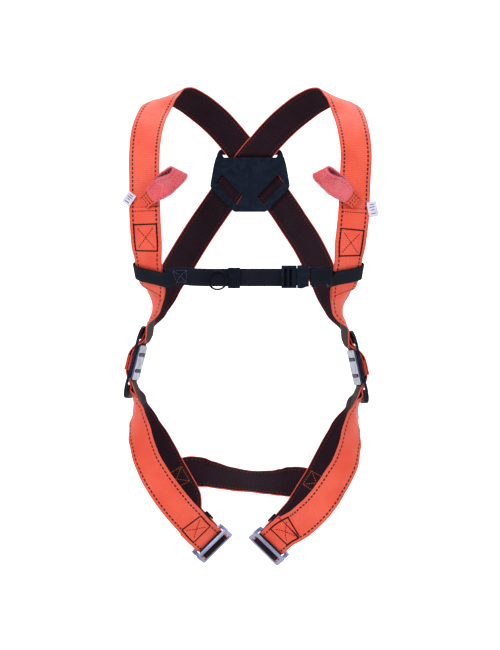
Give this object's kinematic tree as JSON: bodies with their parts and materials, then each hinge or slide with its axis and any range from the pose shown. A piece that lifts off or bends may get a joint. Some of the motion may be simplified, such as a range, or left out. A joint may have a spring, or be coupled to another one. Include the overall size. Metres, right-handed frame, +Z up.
{
  "type": "safety harness",
  "caption": "Full-body fall arrest harness: crossed shoulder webbing with a rear attachment ring, chest strap with buckle, sternal loops, hip pads and buckled leg loops.",
  "frame": {"origin": "middle of the wearer's body, at the height of the tops of the shoulder straps", "axes": "+Z up, +X towards the wearer's left, -Y the way the wearer faces"},
  "size_m": [0.3634, 0.2858, 0.6947],
  "materials": {
    "webbing": "woven polyester webbing, orange outside and dark inside",
    "chest_webbing": "woven polyester webbing, near black",
    "dark_plastic": "moulded, satin, dark navy",
    "steel": "zinc plated with a bluish tint",
    "sleeve": "glossy translucent pink tube",
    "label": "smooth woven tag, pale"
  },
  "bodies": {
    "harness": {"chest_buckle_socket": "dark_plastic", "chest_strap_long": "chest_webbing", "chest_strap_short": "chest_webbing", "dorsal_plate": "dark_plastic", "hip_pad_left": "dark_plastic", "hip_pad_right": "dark_plastic", "hip_plate_left": "steel", "hip_plate_right": "steel", "loop_label_left": "label", "loop_label_right": "label", "seat_strap": "webbing", "shoulder_strap_left": "webbing", "shoulder_strap_right": "webbing", "sternal_patch_left": "webbing", "sternal_patch_right": "webbing", "thigh_back_strap_left": "webbing", "thigh_back_strap_right": "webbing", "thigh_front_strap_left": "webbing", "thigh_front_strap_right": "webbing"},
    "dorsal_ring": {"dorsal_ring": "steel"},
    "chest_plug": {"chest_buckle_plug": "dark_plastic"},
    "parking_ring": {"lanyard_parking_ring": "dark_plastic"},
    "buckle_plate_right": {"leg_buckle_plate_right": "steel"},
    "buckle_frame_right": {"leg_buckle_frame_right": "steel"},
    "keeper_right": {"leg_strap_keeper_right": "dark_plastic"},
    "sternal_loop_right": {"sternal_loop_right": "webbing", "sternal_sleeve_right": "sleeve"},
    "buckle_plate_left": {"leg_buckle_plate_left": "steel"},
    "buckle_frame_left": {"leg_buckle_frame_left": "steel"},
    "keeper_left": {"leg_strap_keeper_left": "dark_plastic"},
    "sternal_loop_left": {"sternal_loop_left": "webbing", "sternal_sleeve_left": "sleeve"}
  },
  "joints": [
    {"name": "dorsal_ring_swing", "type": "hinge", "parent": "harness", "child": "dorsal_ring", "pos_m": [0, 0.0999, -0.092], "axis": [1, 0, 0], "range_deg": [0, 95]},
    {"name": "chest_buckle_release", "type": "slide", "parent": "harness", "child": "chest_plug", "axis": [-1, 0, 0], "range_m": [0, 0.028]},
    {"name": "parking_ring_slide", "type": "slide", "parent": "harness", "child": "parking_ring", "axis": [1, 0, 0], "range_m": [-0.02, 0.02]},
    {"name": "buckle_plate_tilt_right", "type": "hinge", "parent": "harness", "child": "buckle_plate_right", "pos_m": [-0.051, -0.015, -0.654], "axis": [0.7146, 0, 0.6996], "range_deg": [-10, 22]},
    {"name": "buckle_frame_tilt_right", "type": "hinge", "parent": "harness", "child": "buckle_frame_right", "pos_m": [-0.06176, -0.02272, -0.64301], "axis": [0.7146, 0, 0.6996], "range_deg": [-4, 2]},
    {"name": "keeper_slide_right", "type": "slide", "parent": "harness", "child": "keeper_right", "axis": [-0.4976, 0.7029, 0.5083], "range_m": [-0.01, 0.01]},
    {"name": "sternal_loop_fold_right", "type": "hinge", "parent": "harness", "child": "sternal_loop_right", "pos_m": [-0.15, -0.1176, -0.163], "axis": [0.6001, -0.1211, -0.7907], "range_deg": [0, 35], "stiffness_Nm_per_rad": 0.3},
    {"name": "buckle_plate_tilt_left", "type": "hinge", "parent": "harness", "child": "buckle_plate_left", "pos_m": [0.0235, -0.015, -0.6577], "axis": [0.7146, 0, -0.6996], "range_deg": [-10, 22]},
    {"name": "buckle_frame_tilt_left", "type": "hinge", "parent": "harness", "child": "buckle_frame_left", "pos_m": [0.03426, -0.02272, -0.64671], "axis": [0.7146, 0, -0.6996], "range_deg": [-4, 2]},
    {"name": "keeper_slide_left", "type": "slide", "parent": "harness", "child": "keeper_left", "axis": [0.4976, 0.7029, 0.5083], "range_m": [-0.01, 0.01]},
    {"name": "sternal_loop_fold_left", "type": "hinge", "parent": "harness", "child": "sternal_loop_left", "pos_m": [0.15, -0.1176, -0.163], "axis": [0.6001, 0.1211, 0.7907], "range_deg": [0, 35], "stiffness_Nm_per_rad": 0.3}
  ]
}
